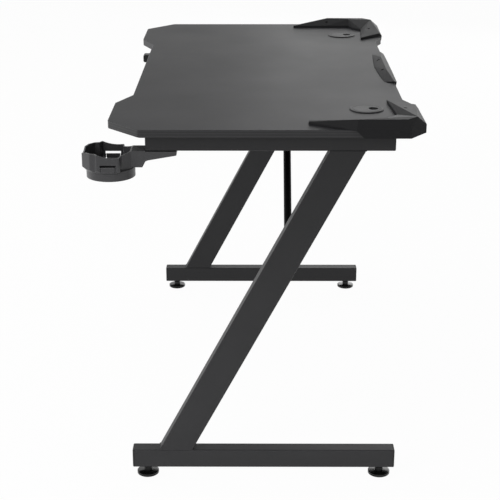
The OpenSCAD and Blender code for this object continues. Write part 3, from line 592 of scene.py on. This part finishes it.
class DeskSizes(bpy.types.PropertyGroup):
    """Sizes of the small details."""

    tube_edge: bpy.props.FloatProperty(
        name="Tube edge",
        description="Rounding of cut tube edges",
        default=0.4 * MM,
        unit="LENGTH",
    )
    plastic_edge: bpy.props.FloatProperty(
        name="Plastic edge",
        description="Rounding of moulded edges",
        default=0.6 * MM,
        unit="LENGTH",
    )
    cap_edge: bpy.props.FloatProperty(
        name="Cap edge",
        description="Rounding of a grommet cap's rim and cable hole",
        default=1.2 * MM,
        unit="LENGTH",
    )
    band_edge: bpy.props.FloatProperty(
        name="Band edge",
        description="Rounding of the edge band",
        default=0.8 * MM,
        unit="LENGTH",
    )


class DESK_OT_finishes(bpy.types.Operator):
    """Make the finishes and give them to the CAD nodes"""

    bl_idname = "desk.finishes"
    bl_label = "Finishes"

    def execute(self, context):
        FINISHES.update(make_finishes())
        finish_nodes()
        return {"FINISHED"}


class DESK_OT_board(bpy.types.Operator):
    """Round the edges of the board's edge band"""

    bl_idname = "desk.board"
    bl_label = "Board"

    def execute(self, context):
        dress("edge_band", context.scene.desk_sizes.band_edge, sharp_deg=60)
        return {"FINISHED"}


class DESK_OT_side_frames(bpy.types.Operator):
    """Break the cut edges of the side frames' tubes"""

    bl_idname = "desk.side_frames"
    bl_label = "Side frames"

    def execute(self, context):
        sizes = context.scene.desk_sizes
        for side in SIDES:
            for part in ("rail", "diagonal", "foot_tube"):
                dress(f"{side}_{part}", sizes.tube_edge, sharp_deg=60)
            for part in ("rail_caps", "foot_caps"):
                dress(f"{side}_{part}", sizes.plastic_edge)
        return {"FINISHED"}


class DESK_OT_trims(bpy.types.Operator):
    """Round the edges of the corner trims and the centre trim"""

    bl_idname = "desk.trims"
    bl_label = "Trims"

    def execute(self, context):
        sizes = context.scene.desk_sizes
        for name in ("left_corner_trim", "right_corner_trim", "centre_trim"):
            dress(name, sizes.plastic_edge, sharp_deg=12, smooth_deg=4)
        return {"FINISHED"}


class DESK_OT_holders(bpy.types.Operator):
    """Round the edges of the cup holder and the headphone hook"""

    bl_idname = "desk.holders"
    bl_label = "Cup holder and hook"

    def execute(self, context):
        sizes = context.scene.desk_sizes
        for name in ("cup_holder", "headphone_hook"):
            dress(name, sizes.plastic_edge, sharp_deg=35)
        return {"FINISHED"}


class DESK_OT_grommets(bpy.types.Operator):
    """Round the rims of the cable grommets and of the holes in their caps"""

    bl_idname = "desk.grommets"
    bl_label = "Cable grommets"

    def execute(self, context):
        sizes = context.scene.desk_sizes
        for side in SIDES:
            dress(f"{side}_grommet", sizes.plastic_edge, sharp_deg=60)
            dress(f"{side}_grommet_cap", sizes.cap_edge, sharp_deg=60, segments=3)
        return {"FINISHED"}


class DESK_OT_fasteners(bpy.types.Operator):
    """Cut the recesses of the screws and bolts and roll the threads of the studs"""

    bl_idname = "desk.fasteners"
    bl_label = "Fasteners"

    def execute(self, context):
        for row in HEADS:
            dress_heads(*row)
        for corner in ("front_left", "front_right", "rear_left", "rear_right"):
            threaded_stud(f"{corner}_stud")
        return {"FINISHED"}


class DESK_OT_welds(bpy.types.Operator):
    """Lay the seams between the diagonals and the tubes they join"""

    bl_idname = "desk.welds"
    bl_label = "Weld seams"

    def execute(self, context):
        for side in SIDES:
            for end in ("top", "bottom"):
                weld_bead(f"{side}_{end}_seam", seam_path(f"{side}_diagonal", end))
        return {"FINISHED"}


class DESK_OT_stage(bpy.types.Operator):
    """Set the floor, the lamps, the world and the camera"""

    bl_idname = "desk.stage"
    bl_label = "Stage"

    def execute(self, context):
        add_floor()
        add_lamps()
        set_world(context.scene)
        add_camera(context.scene)
        context.scene.view_settings.view_transform = "Standard"
        return {"FINISHED"}


# ---- Stage

# The floor lies below the pads even when they are all the way down, and reaches past every view
FLOOR_LEVEL = -12.5 * MM
FLOOR_REACH = 30.0
# Share of plain white in what is seen of the floor. The rest is lit, and takes the shadow
FLOOR_GLOW = 0.965
# Strength of the world as a light on the desk
ROOM_LIGHT = 0.34

# Soft boxes: name, place, what it points at, width, height, watts, spread in degrees, and whether
# a gloss mirrors it (the front one would whiten the board in views from behind)
LAMPS = (
    ("rear_softbox", (-4.0, 2.1, 1.6), (0.0, 0.2, 0.7), 4.6, 2.2, 46.0, 180.0, True),
    ("top_softbox", (0.4, -1.0, 3.3), (0.0, 0.0, 0.7), 4.0, 3.0, 22.0, 180.0, True),
    ("side_softbox", (-0.8, -3.4, 0.9), (0.3, -0.2, 0.6), 2.0, 1.4, 30.0, 180.0, True),
    ("front_softbox", (3.2, -2.8, 2.2), (0.3, 0.0, 0.5), 2.0, 2.0, 72.0, 180.0, False),
    ("low_softbox", (1.5, -0.15, 0.08), (0.55, -0.12, 0.1), 1.6, 0.12, 2.4, 75.0, False),
)

# The camera that was fitted to the photograph, with its angles in degrees
CAMERA_PLACE = (2.80454, -0.01799, 1.34324)
CAMERA_DOWN = 20.374
CAMERA_TURN = -0.2437
CAMERA_ROLL = -0.0298
LENS_MM = 90.12
SENSOR_MM = 36.0


def seen_rays(tree):
    """1 for rays that show the surroundings: from the camera, off a gloss or through glass."""
    path = add_node(tree, "ShaderNodeLightPath")
    seen = path.outputs["Is Camera Ray"]
    for kind in ("Is Glossy Ray", "Is Transmission Ray"):
        seen = calculate(tree, "MAXIMUM", seen, path.outputs[kind])
    return seen


def add_floor():
    """A white floor that keeps a soft shadow of the desk."""
    shape = bmesh.new()
    low = Matrix.Translation((0.0, 0.0, FLOOR_LEVEL))
    bmesh.ops.create_grid(shape, x_segments=1, y_segments=1, size=FLOOR_REACH, matrix=low)
    mesh = bpy.data.meshes.new("floor")
    shape.to_mesh(mesh)
    shape.free()
    material = bpy.data.materials.new("Pale studio floor")
    tree = cleared_tree(material)
    matt = add_node(tree, "ShaderNodeBsdfDiffuse", {"Color": colour("#f4f4f4")})
    glow = add_node(tree, "ShaderNodeEmission", {"Color": colour("#ffffff"), "Strength": 1.0})
    share = calculate(tree, "MULTIPLY", seen_rays(tree), FLOOR_GLOW)
    mixed = add_node(
        tree,
        "ShaderNodeMixShader",
        {0: share, 1: matt.outputs["BSDF"], 2: glow.outputs["Emission"]},
    )
    add_node(tree, "ShaderNodeOutputMaterial", {"Surface": mixed.outputs["Shader"]})
    mesh.materials.append(material)
    floor = bpy.data.objects.new("floor", mesh)
    bpy.context.scene.collection.objects.link(floor)


def add_lamps():
    """The soft boxes round the desk."""
    for name, place, aim, width, height, watts, spread, mirrored in LAMPS:
        lamp = bpy.data.lights.new(name, "AREA")
        lamp.shape = "RECTANGLE"
        lamp.size = width
        lamp.size_y = height
        lamp.energy = watts
        lamp.spread = math.radians(spread)
        holder = bpy.data.objects.new(name, lamp)
        holder.location = place
        facing = Vector(aim) - Vector(place)
        holder.rotation_euler = facing.to_track_quat("-Z", "Y").to_euler()
        holder.visible_camera = False
        holder.visible_glossy = mirrored
        bpy.context.scene.collection.objects.link(holder)


def set_world(scene):
    """A white room in what is seen, and a plainer level for the light on the desk."""
    world = bpy.data.worlds.new("Studio")
    tree = cleared_tree(world)
    level = between(tree, seen_rays(tree), ROOM_LIGHT, 1.0)
    room = add_node(
        tree, "ShaderNodeBackground", {"Color": colour("#ffffff"), "Strength": level}
    )
    add_node(tree, "ShaderNodeOutputWorld", {"Surface": room.outputs["Background"]})
    scene.world = world


def add_camera(scene):
    """The camera, at the photograph's place and angle."""
    down, turn, roll = (math.radians(v) for v in (CAMERA_DOWN, CAMERA_TURN, CAMERA_ROLL))
    ahead = Vector((-math.cos(turn), math.sin(turn), 0.0))
    right = Vector((math.sin(turn), math.cos(turn), 0.0))
    look = ahead * math.cos(down) - UP * math.sin(down)
    top = ahead * math.sin(down) + UP * math.cos(down)
    across = right * math.cos(roll) + top * math.sin(roll)
    upward = top * math.cos(roll) - right * math.sin(roll)
    camera = bpy.data.cameras.new("camera")
    camera.sensor_width = SENSOR_MM
    camera.lens = LENS_MM
    holder = bpy.data.objects.new("camera", camera)
    facing = Matrix((across, upward, -look)).transposed().to_4x4()
    holder.matrix_world = Matrix.Translation(CAMERA_PLACE) @ facing
    scene.collection.objects.link(holder)
    scene.camera = holder


# ---- Panel and registration


class DESK_PT_panel(bpy.types.Panel):
    """Lists the steps that dress the desk"""

    bl_idname = "DESK_PT_panel"
    bl_label = "Gaming desk"
    bl_space_type = "VIEW_3D"
    bl_region_type = "UI"
    bl_category = "Desk"

    def draw(self, context):
        sizes = context.scene.desk_sizes
        for name in ("tube_edge", "plastic_edge", "cap_edge", "band_edge"):
            self.layout.prop(sizes, name)
        for step in STEPS:
            self.layout.operator(step.bl_idname)


STEPS = (
    DESK_OT_finishes,
    DESK_OT_board,
    DESK_OT_side_frames,
    DESK_OT_trims,
    DESK_OT_holders,
    DESK_OT_grommets,
    DESK_OT_fasteners,
    DESK_OT_welds,
    DESK_OT_stage,
)


def register():
    """Registers the properties, the steps and the panel."""
    for item in (DeskSizes, *STEPS, DESK_PT_panel):
        bpy.utils.register_class(item)
    bpy.types.Scene.desk_sizes = bpy.props.PointerProperty(type=DeskSizes)


def unregister():
    """Takes them out again."""
    del bpy.types.Scene.desk_sizes
    for item in reversed((DeskSizes, *STEPS, DESK_PT_panel)):
        bpy.utils.unregister_class(item)


def main():
    """Dresses the desk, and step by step."""
    register()
    for step in STEPS:
        family, name = step.bl_idname.split(".")
        getattr(getattr(bpy.ops, family), name)()


if __name__ == "__main__":
    main()
